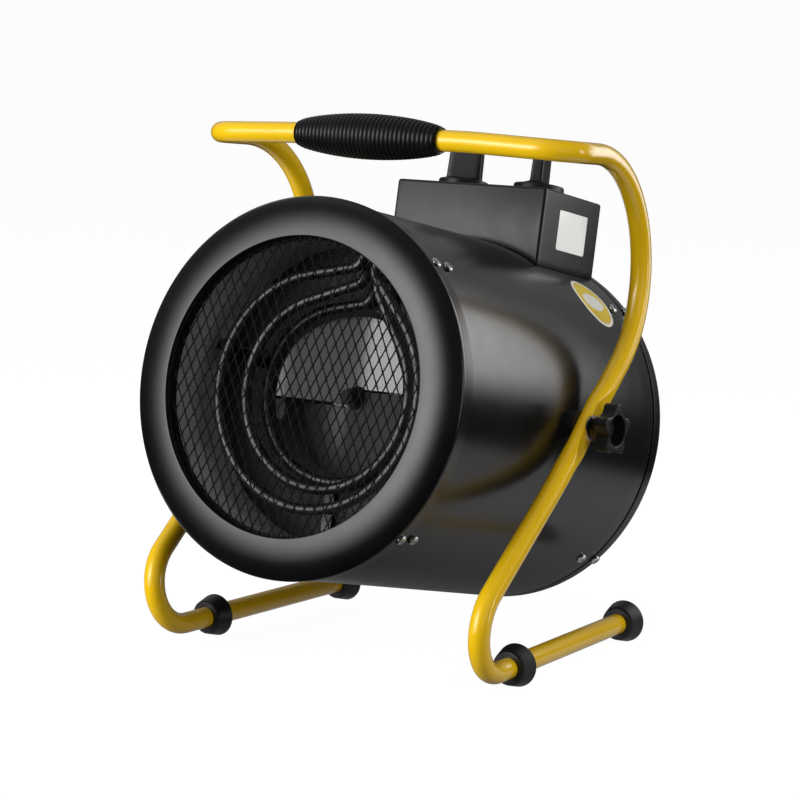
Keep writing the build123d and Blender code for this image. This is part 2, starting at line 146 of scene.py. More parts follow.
def revolve_axis(profile, origin, axis, ref, n=96):
    """closed profile of (r, a) about any axis through origin, row frame mm"""
    profile = np.asarray(profile, float)
    axis = np.asarray(axis, float) / np.linalg.norm(axis)
    ref = np.asarray(ref, float) - axis * (np.asarray(ref, float) @ axis)
    ref /= np.linalg.norm(ref)
    side = np.cross(axis, ref)
    t = np.linspace(0, 2 * math.pi, n, endpoint=False)
    r, a = profile[:, 0][:, None, None], profile[:, 1][:, None, None]
    rings = np.asarray(origin, float) + a * axis + r * (np.cos(t)[None, :, None] * ref + np.sin(t)[None, :, None] * side)
    return rings


def mirrored(verts, faces):
    v = np.array(verts, float).reshape(-1, 3).copy()
    v[:, 0] *= -1
    return v, [tuple(reversed(f)) for f in faces]


def piece(name, verts, faces, body, mat, replaces=(), sharp=32.0, merge=1e-7):
    ob = build(name, verts, faces, sharp, merge)
    ob.data.materials.append(mat)
    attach(ob, body)
    if replaces:
        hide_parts(*replaces)
    return ob


# ----------------------------------------------------------------- materials
class Mat:
    """a Principled material whose colour, roughness and relief come from solid noise in the piece's own coordinates"""

    def __init__(self, name, base, rough, metal=0.0, spec=0.5, coat=0.0, coat_rough=0.05, sheen=0.0, ior=1.5, aniso=0.0):
        self.m = bpy.data.materials.new(name)
        self.m.use_nodes = True
        nt = self.nt = self.m.node_tree
        self.n, self.l = nt.nodes, nt.links
        self.b = self.n["Principled BSDF"]
        self.b.inputs["Base Color"].default_value = (*base, 1)
        self.b.inputs["Roughness"].default_value = rough
        self.b.inputs["Metallic"].default_value = metal
        self.b.inputs["Specular IOR Level"].default_value = spec
        self.b.inputs["IOR"].default_value = ior
        self.b.inputs["Coat Weight"].default_value = coat
        self.b.inputs["Coat Roughness"].default_value = coat_rough
        self.b.inputs["Sheen Weight"].default_value = sheen
        self.tc = self.n.new("ShaderNodeTexCoord")
        self.normal = None
        self.base = base

    def coords(self, scale=(1, 1, 1), rot=(0, 0, 0)):
        mp = self.n.new("ShaderNodeMapping")
        mp.inputs["Scale"].default_value = scale
        mp.inputs["Rotation"].default_value = rot
        self.l.new(self.tc.outputs["Object"], mp.inputs["Vector"])
        return mp.outputs["Vector"]

    def noise(self, scale, detail=3.0, rough=0.55, vector=None, distortion=0.0):
        t = self.n.new("ShaderNodeTexNoise")
        t.inputs["Scale"].default_value = scale
        t.inputs["Detail"].default_value = detail
        t.inputs["Roughness"].default_value = rough
        t.inputs["Distortion"].default_value = distortion
        self.l.new(vector or self.tc.outputs["Object"], t.inputs["Vector"])
        return t.outputs["Fac"]

    def ramp(self, fac, stops):
        r = self.n.new("ShaderNodeValToRGB")
        e = r.color_ramp.elements
        while len(e) < len(stops):
            e.new(0.5)
        for x, (pos, col) in zip(e, stops):
            x.position = pos
            x.color = (*col, 1) if len(col) == 3 else col
        self.l.new(fac, r.inputs["Fac"])
        return r.outputs["Color"]

    def rng(self, fac, a, b, lo=0.3, hi=0.7):
        m = self.n.new("ShaderNodeMapRange")
        for k, v in (("From Min", lo), ("From Max", hi), ("To Min", a), ("To Max", b)):
            m.inputs[k].default_value = v
        self.l.new(fac, m.inputs["Value"])
        return m.outputs["Result"]

    def math(self, op, a, b=None, clamp=False):
        m = self.n.new("ShaderNodeMath")
        m.operation = op
        m.use_clamp = clamp
        for i, v in enumerate((a, b)):
            if v is None:
                continue
            if isinstance(v, (int, float)):
                m.inputs[i].default_value = v
            else:
                self.l.new(v, m.inputs[i])
        return m.outputs[0]

    def mix(self, fac, a, b):
        m = self.n.new("ShaderNodeMix")
        m.data_type = "RGBA"
        for i, v in ((0, fac), (6, a), (7, b)):
            if isinstance(v, (int, float)):
                m.inputs[i].default_value = v
            elif isinstance(v, tuple):
                m.inputs[i].default_value = (*v, 1)
            else:
                self.l.new(v, m.inputs[i])
        return m.outputs[2]

    def colour(self, out):
        self.l.new(out, self.b.inputs["Base Color"])
        return self

    def roughness(self, out):
        self.l.new(out, self.b.inputs["Roughness"])
        return self

    def bump(self, height, distance, strength=1.0):
        b = self.n.new("ShaderNodeBump")
        b.inputs["Strength"].default_value = strength
        b.inputs["Distance"].default_value = distance
        self.l.new(height, b.inputs["Height"])
        if self.normal is not None:
            self.l.new(self.normal, b.inputs["Normal"])
        self.normal = b.outputs["Normal"]
        self.l.new(self.normal, self.b.inputs["Normal"])
        return self


def tone(c, k):
    return tuple(max(0.0, min(1.0, x * k)) for x in c)


def painted(name, base, rough, spread=0.04, peel=900.0, peel_d=0.00004, coat=0.0, spec=0.5, tint=0.12, dust=None):
    m = Mat(name, base, rough, coat=coat, spec=spec)
    big = m.noise(14, 2)
    m.colour(m.ramp(big, [(0.3, tone(base, 1 - tint)), (0.7, tone(base, 1 + tint))]))
    m.roughness(m.rng(m.noise(60, 4), rough - spread, rough + spread))
    m.bump(m.noise(peel, 1.5), peel_d, 0.5)
    return m


def moulded(name, base, rough, grain=1600.0, depth=0.00006, spec=0.45, spread=0.05):
    m = Mat(name, base, rough, spec=spec)
    m.colour(m.ramp(m.noise(30, 3), [(0.3, tone(base, 0.85)), (0.7, tone(base, 1.2))]))
    m.roughness(m.rng(m.noise(120, 4), rough - spread, rough + spread))
    m.bump(m.noise(grain, 2), depth, 0.6)
    return m


def metal(name, base, rough, spread=0.06, streak=(1, 1, 1), scale=300.0, depth=0.00003, stain=0.12):
    m = Mat(name, base, rough, metal=1.0)
    v = m.coords(streak)
    m.colour(m.ramp(m.noise(40, 4), [(0.3, tone(base, 1 - stain)), (0.7, tone(base, 1 + stain * 0.6))]))
    m.roughness(m.rng(m.noise(scale, 4, vector=v), rough - spread, rough + spread))
    m.bump(m.noise(scale * 2, 3, vector=v), depth, 0.5)
    return m


YELLOW = (0.80, 0.50, 0.008)
yellow = painted("yellow_enamel", YELLOW, 0.17, spread=0.03, peel=420, peel_d=0.00003, coat=0.5, tint=0.05)
BLACK = (0.0040, 0.0041, 0.0044)
black = painted("black_powder_coat", BLACK, 0.225, spread=0.02, peel=1100, peel_d=0.000008, tint=0.25)
black_box = painted("black_box_coat", (0.0048, 0.0049, 0.0052), 0.33, spread=0.02, peel=1300, peel_d=0.00001, tint=0.2)
grip_mat = moulded("grip_rubber_matte", (0.0042, 0.0042, 0.0045), 0.34, grain=2200, depth=0.00002)
foot_mat = moulded("foot_rubber_matte", (0.0062, 0.0062, 0.0066), 0.42, grain=1500, depth=0.00004)
plastic = moulded("black_moulded_plastic", (0.0070, 0.0070, 0.0072), 0.38, grain=1800, depth=0.00003)
zinc = metal("bright_zinc", (0.72, 0.73, 0.75), 0.22, scale=500)
screw_mat = metal("bright_screws", (0.80, 0.80, 0.81), 0.17, scale=700)
inner = metal("galvanised_sheet", (0.22, 0.225, 0.235), 0.50, scale=200)
shield = Mat("aged_shield_sheet", (0.25, 0.252, 0.257), 0.42, spec=0.5)
shield.colour(shield.ramp(shield.noise(22, 4), [(0.3, (0.20, 0.202, 0.206)), (0.7, (0.31, 0.312, 0.317))]))
shield.roughness(shield.rng(shield.noise(60, 4, vector=shield.coords((1, 14, 14))), 0.34, 0.50))
shield.bump(shield.noise(500, 3), 0.00002, 0.5)
dark_steel = painted("black_baffle", (0.010, 0.010, 0.010), 0.5, tint=0.3)
wire = painted("black_wire_paint", (0.0040, 0.0040, 0.0042), 0.60, spread=0.05, peel=1500, peel_d=0.00002, spec=0.16)
motor_mat = metal("motor_can", (0.42, 0.43, 0.44), 0.4, scale=250)
alu = metal("rolled_aluminium", (0.105, 0.106, 0.108), 0.17, spread=0.02, streak=(12, 1, 1), scale=90, depth=0.00001, stain=0.06)
alu.b.inputs["Metallic"].default_value = 0.55
hub_mat = painted("dull_hub_grey", (0.022, 0.022, 0.023), 0.62, spread=0.05, peel=1500, peel_d=0.00002, spec=0.12)
switch_mat = moulded("switch_body", (0.05, 0.05, 0.055), 0.5)
copper_mat = metal("drawn_copper", (0.72, 0.42, 0.27), 0.3)
spring_mat = metal("spring_steel", (0.6, 0.6, 0.62), 0.3)

sheath = Mat("oxidised_sheath", (0.22, 0.21, 0.205), 0.3, metal=1.0)
sheath.colour(sheath.ramp(sheath.noise(55, 5, 0.65), [(0.28, (0.065, 0.064, 0.065)), (0.5, (0.11, 0.108, 0.106)), (0.72, (0.16, 0.155, 0.15))]))
sheath.roughness(sheath.rng(sheath.noise(180, 4), 0.36, 0.50))
sheath.bump(sheath.noise(900, 3), 0.00005, 0.6)

ceramic_mat = Mat("glazed_ceramic", (0.82, 0.79, 0.72), 0.25)
ceramic_mat.colour(ceramic_mat.ramp(ceramic_mat.noise(120, 3), [(0.3, (0.76, 0.72, 0.64)), (0.7, (0.86, 0.84, 0.78))]))
ceramic_mat.roughness(ceramic_mat.rng(ceramic_mat.noise(300, 3), 0.18, 0.32))

MATERIALS = {
    "yellow_gloss": yellow, "inner_steel": inner, "grip_rubber": grip_mat, "foot_rubber": foot_mat,
    "zinc_steel": zinc, "screw_steel": screw_mat, "black_plastic": plastic, "black_powder": black,
    "black_wire": wire, "shield_steel": shield, "dark_steel": dark_steel, "element_sheath": sheath,
    "ceramic": ceramic_mat, "motor_steel": motor_mat, "fan_aluminium": alu, "switch_plastic": switch_mat,
    "copper": copper_mat, "spring_steel": spring_mat,
}
slot_of = {p["node"]: p["material_slot"] for p in frame["record"]["subparts"]}
for node, ob in frame["nodes"].items():
    ms = ob.material_slots
    for k in range(len(ms)):
        ms[k].material = MATERIALS[slot_of[node]].m
for node, mat in (("grille_clamp_ring", wire), ("fan_nut", hub_mat), ("motor_shaft", hub_mat), ("clamp_stud_right", wire), ("clamp_stud_left", wire)):
    ms = frame["nodes"][node].material_slots
    for k in range(len(ms)):
        ms[k].material = mat.m

# ---------------------------------------------------------------- tube frame
P = [(0, -143.1, 394.3), (79.5, -143.1, 394.3), (160.8, -140.9, 391.3),
     (148.8, 27.6, 375.8), (153.3, -26.7, 241.8), (147.0, -123.7, 147.1),
     (145.1, -292.7, 16.0), (131.2, 14.8, 16.0)]
BEND = [300.0, 27.2, 88.8, 112.2, 251.2, 34.6]
P = [np.array((x, y + Y0, z), float) for x, y, z in P]


def frame_line():
    out = [P[0]]
    for i, r in enumerate(BEND, 1):
        a, b, c = P[i - 1], P[i], P[i + 1]
        u, v = (a - b) / np.linalg.norm(a - b), (c - b) / np.linalg.norm(c - b)
        turn = math.acos(float(-u @ v))
        t = r * math.tan(turn / 2)
        centre = b + (u + v) / np.linalg.norm(u + v) * r / math.cos(turn / 2)
        e1 = (b + u * t - centre) / r
        w = (b + v * t - centre) / r
        e2 = (w - e1 * math.cos(turn)) / math.sin(turn)
        k = max(4, int(turn * r / 0.5))
        for j in range(k + 1):
            f = turn * j / k
            out.append(centre + r * (math.cos(f) * e1 + math.sin(f) * e2))
    out.append(P[-1])
    return np.array(out)


line = frame_line()
run = np.concatenate([[0], np.cumsum(np.linalg.norm(np.diff(line, axis=0), axis=1))])
pivot = np.array([PIVOT_X, PIVOT_Y, PIVOT_Z])
dense = np.arange(0.0, run[-1], 0.2)
near = np.stack([np.interp(dense, run, line[:, k]) for k in range(3)], -1)
at_pivot = dense[np.argmin(np.linalg.norm(near - pivot, axis=1))]
stations = [0.0]
while stations[-1] < run[-1] - 0.01:
    d = abs(stations[-1] - at_pivot)
    stations.append(min(run[-1], stations[-1] + (1.0 if d < 48 else 2.4)))
stations = np.array(stations)
centre = np.stack([np.interp(stations, run, line[:, k]) for k in range(3)], -1)
tang = np.gradient(centre, axis=0)
tang /= np.linalg.norm(tang, axis=1)[:, None]
up = np.array([0, 0, 1.0])
frames = []
u = np.cross(tang[0], up)
u /= np.linalg.norm(u)
for t in tang:
    u = u - t * (u @ t)
    u /= np.linalg.norm(u)
    frames.append((u, np.cross(t, u)))


def tube_ring(i, r, seg=120, press=True):
    a = np.linspace(0, 2 * math.pi, seg, endpoint=False)
    uu, vv = frames[i]
    ring = centre[i] + r * (np.cos(a)[:, None] * uu + np.sin(a)[:, None] * vv)
    d = abs(stations[i] - at_pivot)
    if press and d < 40:
        k = min(1.0, max(0.0, (d - 17.0) / 20.0))
        k = k * k * (3 - 2 * k) * 0.15 + k * 0.85
        half = 4.75 + (r + 0.35 - 4.75) * k
        dx = ring[:, 0] - centre[i, 0]
        q = dx / half
        soft = q / (1 + np.abs(q) ** 22) ** (1 / 22)
        flat_x = PIVOT_X + (centre[i, 0] - PIVOT_X) * k + half * soft
        ring[:, 0] = ring[:, 0] * k ** 4 + flat_x * (1 - k ** 4)
        side = np.cross(tang[i], (1, 0, 0))
        side /= np.linalg.norm(side)
        off = (ring - centre[i]) @ side
        ring = ring + (off * 0.13 * (1 - k))[:, None] * side
    return ring


n_st = len(stations)
outer = [tube_ring(i, 8.0) for i in range(n_st)]
edge0 = [centre[-1] + (ring_r / 8.0) * (outer[-1] - centre[-1]) for ring_r in (7.7, 6.9, 6.5)]
tube_rings = np.array(outer + edge0)
v, f = rings_mesh(R(tube_rings), closed=False, cap0=True, cap1=True)
piece("frame_tube_right", v, f, "frame", yellow.m, ["frame_half_right"], sharp=40)
v, f = mirrored(v, f)
piece("frame_tube_left", v, f, "frame", yellow.m, ["frame_half_left"], sharp=40)

# ----------------------------------------------------------------- hand grip
G0, G1, RIBS = -70.7, 54.9, 34
prof = [(8.04, G0 + 0.6), (8.6, G0 + 0.1), (9.6, G0)]
steps = RIBS * 12
for i in range(steps + 1):
    t = i / steps
    x = G0 + 0.5 + (G1 - G0 - 1.0) * t
    body_r = 9.7 + 7.5 * math.sin(math.pi * min(1, max(0, t))) ** 0.65
    wave = abs(math.sin(math.pi * RIBS * t)) ** 0.8
    end = min(1.0, t * 40, (1 - t) * 40)
    body_r -= (1 - end) ** 2 * 0.8
    prof.append((body_r - 0.62 * (1 - wave), x))
prof += [(9.6, G1), (8.6, G1 - 0.1), (8.04, G1 - 0.6)]
rings = revolve_axis(prof, (0, -143.1 + Y0, 394.3), (1, 0, 0), (0, 0, 1), n=112)
v, f = rings_mesh(R(rings))
piece("hand_grip", v, f, "frame", grip_mat.m, ["handle_grip"], sharp=60)

# ---------------------------------------------------------------------- feet
rdir = (P[7] - P[6]) / np.linalg.norm(P[7] - P[6])


def foot(name, y_front, length, blind, node, mirror):
    k = (y_front + Y0 - P[6][1]) / (P[7][1] - P[6][1])
    o = P[6] + k * (P[7] - P[6])
    o[2] = 16.0
    pts = [(8.05, 0.0, 0), (11.9, 0.0, 0.7), (13.2, 1.5, 0.8), (16.1, length - 2.3, 1.2), (16.3, length - 1.3, 0.9), (15.2, length, 0.9)]
    if blind:
        pts += [(11.0, length + 0.0, 0.5), (10.4, length - 0.5, 0.4), (3.0, length - 0.5, 0.5), (0.001, length - 0.5, 0), (0.001, length - 1.7, 0), (8.05, length - 1.7, 0)]
    else:
        pts += [(9.6, length, 0.6), (9.1, length - 0.6, 0.4), (8.05, length - 0.6, 0)]
    prof = rounded(pts, 6)
    rings = revolve_axis(prof, o, rdir, (0, 0, 1), n=96)
    rings[..., 2] = np.maximum(rings[..., 2], 0.0)
    v, f = rings_mesh(R(rings))
    if mirror:
        v, f = mirrored(v, f)
    piece(name, v, f, "frame", foot_mat.m, [node], sharp=40, merge=2e-6)


foot("rubber_foot_front_right", -177.5, 15.0, False, "foot_front_right", False)
foot("rubber_foot_front_left", -168.0, 15.0, False, "foot_front_left", True)
foot("rubber_foot_rear_right", 1.4, 15.4, True, "foot_rear_right", False)
foot("rubber_foot_rear_left", 1.4, 15.4, True, "foot_rear_left", True)


# -------------------------------------------------------------------- barrel
def quarter(r_out, r_in, s_in, s_out, steps=40):
    out = []
    for i in range(steps + 1):
        t = math.pi / 2 * i / steps
        out.append((r_in + (r_out - r_in) * math.cos(t), s_in + (s_out - s_in) * math.sin(t), 0))
    return out


SKIRT_END = -151.3
prof = [(DRUM_R + 0.06, SKIRT_END, 0), (DRUM_R + SHEET, SKIRT_END, 0.45), (DRUM_R + SHEET, BEZEL_S + 3.4, 0.8), (BEZEL_R, BEZEL_S + 2.0, 1.2)]
prof += quarter(BEZEL_R, LIP_R + 1.6, BEZEL_S, LIP_S)
prof += [(LIP_R, LIP_S + 0.0, 1.2), (LIP_R, MESH_S - 0.05, 0), (LIP_R + SHEET, MESH_S - 0.05, 0), (LIP_R + SHEET, LIP_S + SHEET + 0.6, 0.5)]
prof += quarter(BEZEL_R - SHEET, LIP_R + 1.6, BEZEL_S, LIP_S + SHEET)[::-1]
prof += [(DRUM_R + 0.06, BEZEL_S + 1.2, 0)]
v, f = revolve_barrel(rounded(prof, 6), 320)
piece("bezel", v, f, "barrel", black.m, ["front_bezel"], sharp=30)

prof = rounded([(DRUM_R - DRUM_T, -163.0, 0), (DRUM_R, -163.0, 0.3), (DRUM_R, -151.1, 0), (DRUM_R, -110, 0), (DRUM_R, -60, 0), (DRUM_R, 0, 0), (DRUM_R, 60, 0),
                (DRUM_R, 110, 0), (DRUM_R, 128.3, 0.45), (DRUM_R - DRUM_T, 128.3, 0.2), (DRUM_R - DRUM_T, 0, 0)], 6)
v, f = revolve_barrel(prof, 320)
piece("drum", v, f, "barrel", black.m, ["drum_shell"], sharp=30)

IN_R = DRUM_R - DRUM_T - 0.04
prof = rounded([(IN_R, 120.5, 0), (IN_R, 126.6, 0.2), (DRUM_R - 5.2, 127.4, 0), (DRUM_R - 5.2, 130.2, 0), (IN_R - 0.2, 130.7, 0), (DRUM_R, 130.7, 0.5), (DRUM_R, REAR_END, 3.3), (126.0, REAR_END, 0.4), (126.0, REAR_END - SHEET, 0.3),
                (DRUM_R - 6.4, REAR_END - SHEET, 1.5), (DRUM_R - 6.4, 126.4, 0), (DRUM_R - 2.4, 124.6, 0), (DRUM_R - 2.4, 120.5, 0)], 8)
v, f = revolve_barrel(prof, 320)
piece("rear_collar", v, f, "barrel", black.m, ["rear_ring"], sharp=30)


# --------------------------------------------------------------- control box
def rect_outline(hx, y0, y1, r, seg=8, per=10):
    """rounded rectangle in (x, s); the same number of points for every radius"""
    pts = []
    cy, hy = (y0 + y1) / 2, (y1 - y0) / 2
    for sx, sy, a0 in ((1, 1, 0), (-1, 1, 90), (-1, -1, 180), (1, -1, 270)):
        for j in range(seg + 1):
            a = math.radians(a0 + 90 * j / seg)
            pts.append((sx * (hx - r) + r * math.cos(a), cy + sy * (hy - r) + r * math.sin(a)))
    full = []
    m = len(pts)
    for i in range(m):
        a, b = np.array(pts[i]), np.array(pts[(i + 1) % m])
        long_side = (i % (seg + 1)) == seg
        k = per * 4 if long_side else 1
        for j in range(k):
            full.append(a + (b - a) * j / k)
    return np.array(full)


def box_cover():
    fr, t = 2.4, SHEET
    rings = []
    seat_r = DRUM_R + 0.28

    def ring_at(inset, rad, n=None, rr=seat_r):
        o = rect_outline(BOX_X - inset, BOX_F + inset, BOX_B - inset, rad)
        nn = np.sqrt(np.maximum(0, rr ** 2 - o[:, 0] ** 2)) if n is None else np.full(len(o), n)
        return np.stack([o[:, 0], o[:, 1], nn], -1)

    low_in = ring_at(t, fr - t)
    rings.append(low_in)
    mid = ring_at(t * 0.5, fr - t * 0.5)
    rings.append(mid)
    e = ring_at(0.12, fr)
    rings.append(e)
    e2 = ring_at(0.0, fr)
    e2[:, 2] += 0.35
    rings.append(e2)
    for k in range(1, 12):
        g = e2.copy()
        g[:, 2] = e2[:, 2] + (BOX_TOP - fr - e2[:, 2]) * k / 11
        rings.append(g)
    for k in range(1, 9):
        a = math.pi / 2 * k / 8
        rings.append(ring_at(fr * (1 - math.cos(a)), max(0.05, fr * math.cos(a)) if k < 8 else 0.05, BOX_TOP - fr + fr * math.sin(a)))
    for q in (4.0, 12.0, 24.0, 36.0):
        rings.append(ring_at(q, 0.05, BOX_TOP))
    last = ring_at(44.0, 0.05, BOX_TOP)
    rings.append(last)
    inner_rings = [ring_at(44.0, 0.05, BOX_TOP - t)]
    for q in (24.0, 8.0):
        inner_rings.append(ring_at(q, 0.05, BOX_TOP - t))
    inner_rings.append(ring_at(t + 0.3, fr - t, BOX_TOP - t))
    inner_rings.append(ring_at(t, fr - t, BOX_TOP - t - 0.6))
    v, f = rings_mesh(np.array(rings), closed=False, cap1=True)
    v2, f2 = rings_mesh(np.array([low_in] + inner_rings[::-1]), closed=False, cap1=True)
    n = len(v)
    return W(np.concatenate([v, v2])), f + [tuple(i + n for i in q) for q in f2]


v, f = box_cover()
piece("control_box_cover", v, f, "barrel", black_box.m, ["control_box"], sharp=30, merge=3e-6)


# ----------------------------------------------------- expanded metal grille
def grille():
    dx, dz = 8.6, 17.2
    radius = 111.9
    verts, faces = [], []
    wid, thk = 0.88, 0.75
    lean = math.radians(28)
    for sign in (1, -1):
        slope = sign * (dz / 2) / (dx / 2)
        direction = np.array([1.0, slope]) / math.hypot(1, slope)
        across = np.array([-direction[1], direction[0]])
        c = -40
        while c <= 40:
            # corners of the openings lie at (4.3 + i 8.6, 0) and (i 8.6, 8.6): both lie on these lines
            off = (c + 0.5) * dz
            # line n = slope x + off, distance from the centre
            dist = off * direction[0]
            if abs(dist) < radius - 1.0:
                half = math.sqrt(radius ** 2 - dist ** 2)
                mid = across * (off * across[1])
                # knuckles every half opening along x
                t_of = lambda x: (x - mid[0]) / direction[0]
                x0, x1 = mid[0] - half * direction[0], mid[0] + half * direction[0]
                k0, k1 = math.ceil(x0 / (dx / 2)), math.floor(x1 / (dx / 2))
                marks = [x0] + [k * dx / 2 for k in range(k0, k1 + 1)] + [x1]
                fine = []
                for a, b in zip(marks[:-1], marks[1:]):
                    if b - a < 0.05:
                        continue
                    for q in (0.0, 0.14, 0.5, 0.86):
                        fine.append((a + (b - a) * q, q))
                fine.append((x1, 0.0))
                base = len(verts)
                for x, q in fine:
                    bulge = 1.0 if q == 0.0 else (0.55 if q in (0.14, 0.86) else 0.0)
                    p = mid + direction * t_of(x)
                    w = wid * (1 + 0.55 * bulge) / 2
                    h = thk / 2
                    an = lean * (1 - 0.6 * bulge)
                    depth = 0.12 * sign
                    for a, b in ((-w, -h * 0.6), (-w * 0.75, -h), (w * 0.75, -h), (w, -h * 0.6), (w, h * 0.6), (w * 0.75, h), (-w * 0.75, h), (-w, h * 0.6)):
                        aa = a * math.cos(an) - b * math.sin(an)
                        bb = a * math.sin(an) + b * math.cos(an)
                        xy = p + across * aa
                        verts.append((xy[0], MESH_S + 0.5 + bb + depth, xy[1]))
                m = len(fine)
                for i in range(m - 1):
                    for j in range(8):
                        a, b = base + i * 8 + j, base + i * 8 + (j + 1) % 8
                        faces.append((a, b, b + 8, a + 8))
                faces.append(tuple(base + j for j in range(8)))
                faces.append(tuple(base + (m - 1) * 8 + j for j in range(8)))
            c += 1
    return W(np.array(verts)), faces


v, f = grille()
piece("expanded_mesh", v, f, "barrel", wire.m, ["mesh_grille"], sharp=30, merge=1e-8)

# ------------------------------------------------------------------ fan wheel
FAN_R, FAN_S = 61.0, -89.0


def fan_wheel():
    """two pressed half-disc blades, steeper at one end than at the other; the small hub is a separate piece made below
    """
    def lift(x, n):
        return 0.21 * x - 0.11 * math.sqrt((x - 3.0) ** 2 + 36.0) + 0.006 * max(0.0, -x - 50.0) ** 2 + 5.2

    def row_ends(x):
        top = math.sqrt(max(0.0, FAN_R ** 2 - x * x))
        k = 1 / (1 + math.exp(-(x - 1.0) / 0.5))
        return -5.0 * (1 - k) + 7.0 * k, top

    xs = np.concatenate([np.linspace(-FAN_R + 0.02, -3, 60), np.linspace(-2.6, 4.6, 19), np.linspace(5, FAN_R - 0.55, 60)])
    nz = 26
    verts, faces = [], []
    for turn in (1, -1):
        for side in (0.55, -0.55):
            base = len(verts)
            for x in xs:
                lo, hi = row_ends(x)
                hi = max(hi, lo + 0.05)
                for j in range(nz + 1):
                    n = lo + (hi - lo) * j / nz
                    verts.append((turn * x, FAN_S + float(lift(x, n)) + side, turn * n))
            m = nz + 1
            for i in range(len(xs) - 1):
                for j in range(nz):
                    a = base + i * m + j
                    faces.append((a, a + 1, a + m + 1, a + m))
        m = nz + 1
        total = len(xs) * m
        f0, f1 = len(verts) - 2 * total, len(verts) - total
        rim = [j for j in range(m)] + [i * m + nz for i in range(1, len(xs))] + [(len(xs) - 1) * m + j for j in range(nz - 1, -1, -1)] + [i * m for i in range(len(xs) - 2, 0, -1)]
        for k in range(len(rim)):
            a, b = rim[k], rim[(k + 1) % len(rim)]
            faces.append((f0 + a, f0 + b, f1 + b, f1 + a))
    return W(np.array(verts)), faces


v, f = fan_wheel()
piece("fan_blades", v, f, "fan", alu.m, ["fan_wheel"], sharp=30, merge=1e-7)
hub = rounded([(3.03, FAN_S - 6.5, 0), (6.5, FAN_S - 6.5, 0.8), (7.2, FAN_S + 1.0, 1.5), (9.0, FAN_S + 3.0, 0.8), (9.0, FAN_S + 9.0, 0.5), (3.03, FAN_S + 9.0, 0)], 5)
v, f = revolve_barrel(hub, 64)
piece("fan_hub", v, f, "fan", hub_mat.m, ["fan_wheel"], sharp=35, merge=1e-7)

# ---------------------------------------------------- rivets of the heat shield
verts, faces = [], []
for ang in (45, 131, 229, 315):
    a = math.radians(ang)
    dome = [(0.001, 1.1), (0.8, 1.05), (1.4, 0.8), (1.8, 0.35), (1.9, -0.3), (0.001, -0.3)]
    axis_out = np.array([math.sin(a), 0, math.cos(a)])
    tang_a = np.array([math.cos(a), 0, -math.sin(a)])
    t = np.linspace(0, 2 * math.pi, 20, endpoint=False)
    rr = []
    for r_, h_ in dome:
        ctr = axis_out * (112.15 - h_) + np.array([0, -160.6, 0])
        rr.append(ctr + r_ * (np.cos(t)[:, None] * tang_a + np.sin(t)[:, None] * np.array([0, 1.0, 0])))
    v1, f1 = rings_mesh(np.array(rr), closed=False)
    k = len(verts)
    verts += list(v1)
    faces += [tuple(i + k for i in q) for q in f1]
piece("liner_rivets", W(np.array(verts)), faces, "barrel", screw_mat.m, sharp=40, merge=1e-6)

# ---------------------------------------------------------------- star knobs
K0, K1 = PIVOT_X + 4.75 + 1.46, 176.4


def star_outline(n=40):
    """five lobes joined by concave flutes, n points per lobe, first lobe along +Y"""
    lc, lr, fr = 15.3, 4.5, 9.2
    a36 = math.radians(36)
    b = -2 * lc * math.cos(a36)
    cc = lc ** 2 - (lr + fr) ** 2
    fd = (-b + math.sqrt(b * b - 4 * cc)) / 2
    pts = []
    half = n // 2
    lobe = np.array([lc, 0.0])
    flute = np.array([fd * math.cos(a36), fd * math.sin(a36)])
    touch = lobe + (flute - lobe) * lr / (lr + fr)
    a_t = math.atan2(touch[1], touch[0] - lc)
    a0 = math.atan2(*(touch - flute)[::-1])
    a1 = math.atan2(*(-flute)[::-1])
    if a1 > a0:
        a1 -= 2 * math.pi
    if a0 - a1 > math.pi:
        a1 += 2 * math.pi
    seq = []
    for j in range(half):
        seq.append(lobe + lr * np.array([math.cos(a_t * j / half), math.sin(a_t * j / half)]))
    for j in range(half + 1):
        a = a0 + (a1 - a0) * j / half
        seq.append(flute + fr * np.array([math.cos(a), math.sin(a)]))
    sector = seq + [q * np.array([1, -1]) for q in seq[::-1][1:-1]]
    # sector now runs from the lobe's tip to the flute and back mirrored about the lobe's line; rebuild in order
    out = []
    for i in range(5):
        a = math.radians(72 * i + 10)
        rot = np.array([[math.cos(a), -math.sin(a)], [math.sin(a), math.cos(a)]])
        lead = [rot @ q for q in seq[:-1]]
        a = math.radians(72 * (i + 1) + 10)
        rot = np.array([[math.cos(a), -math.sin(a)], [math.sin(a), math.cos(a)]])
        tail = [rot @ (q * np.array([1, -1])) for q in seq[::-1][:-1]]
        out += lead + tail
    return np.array(out)


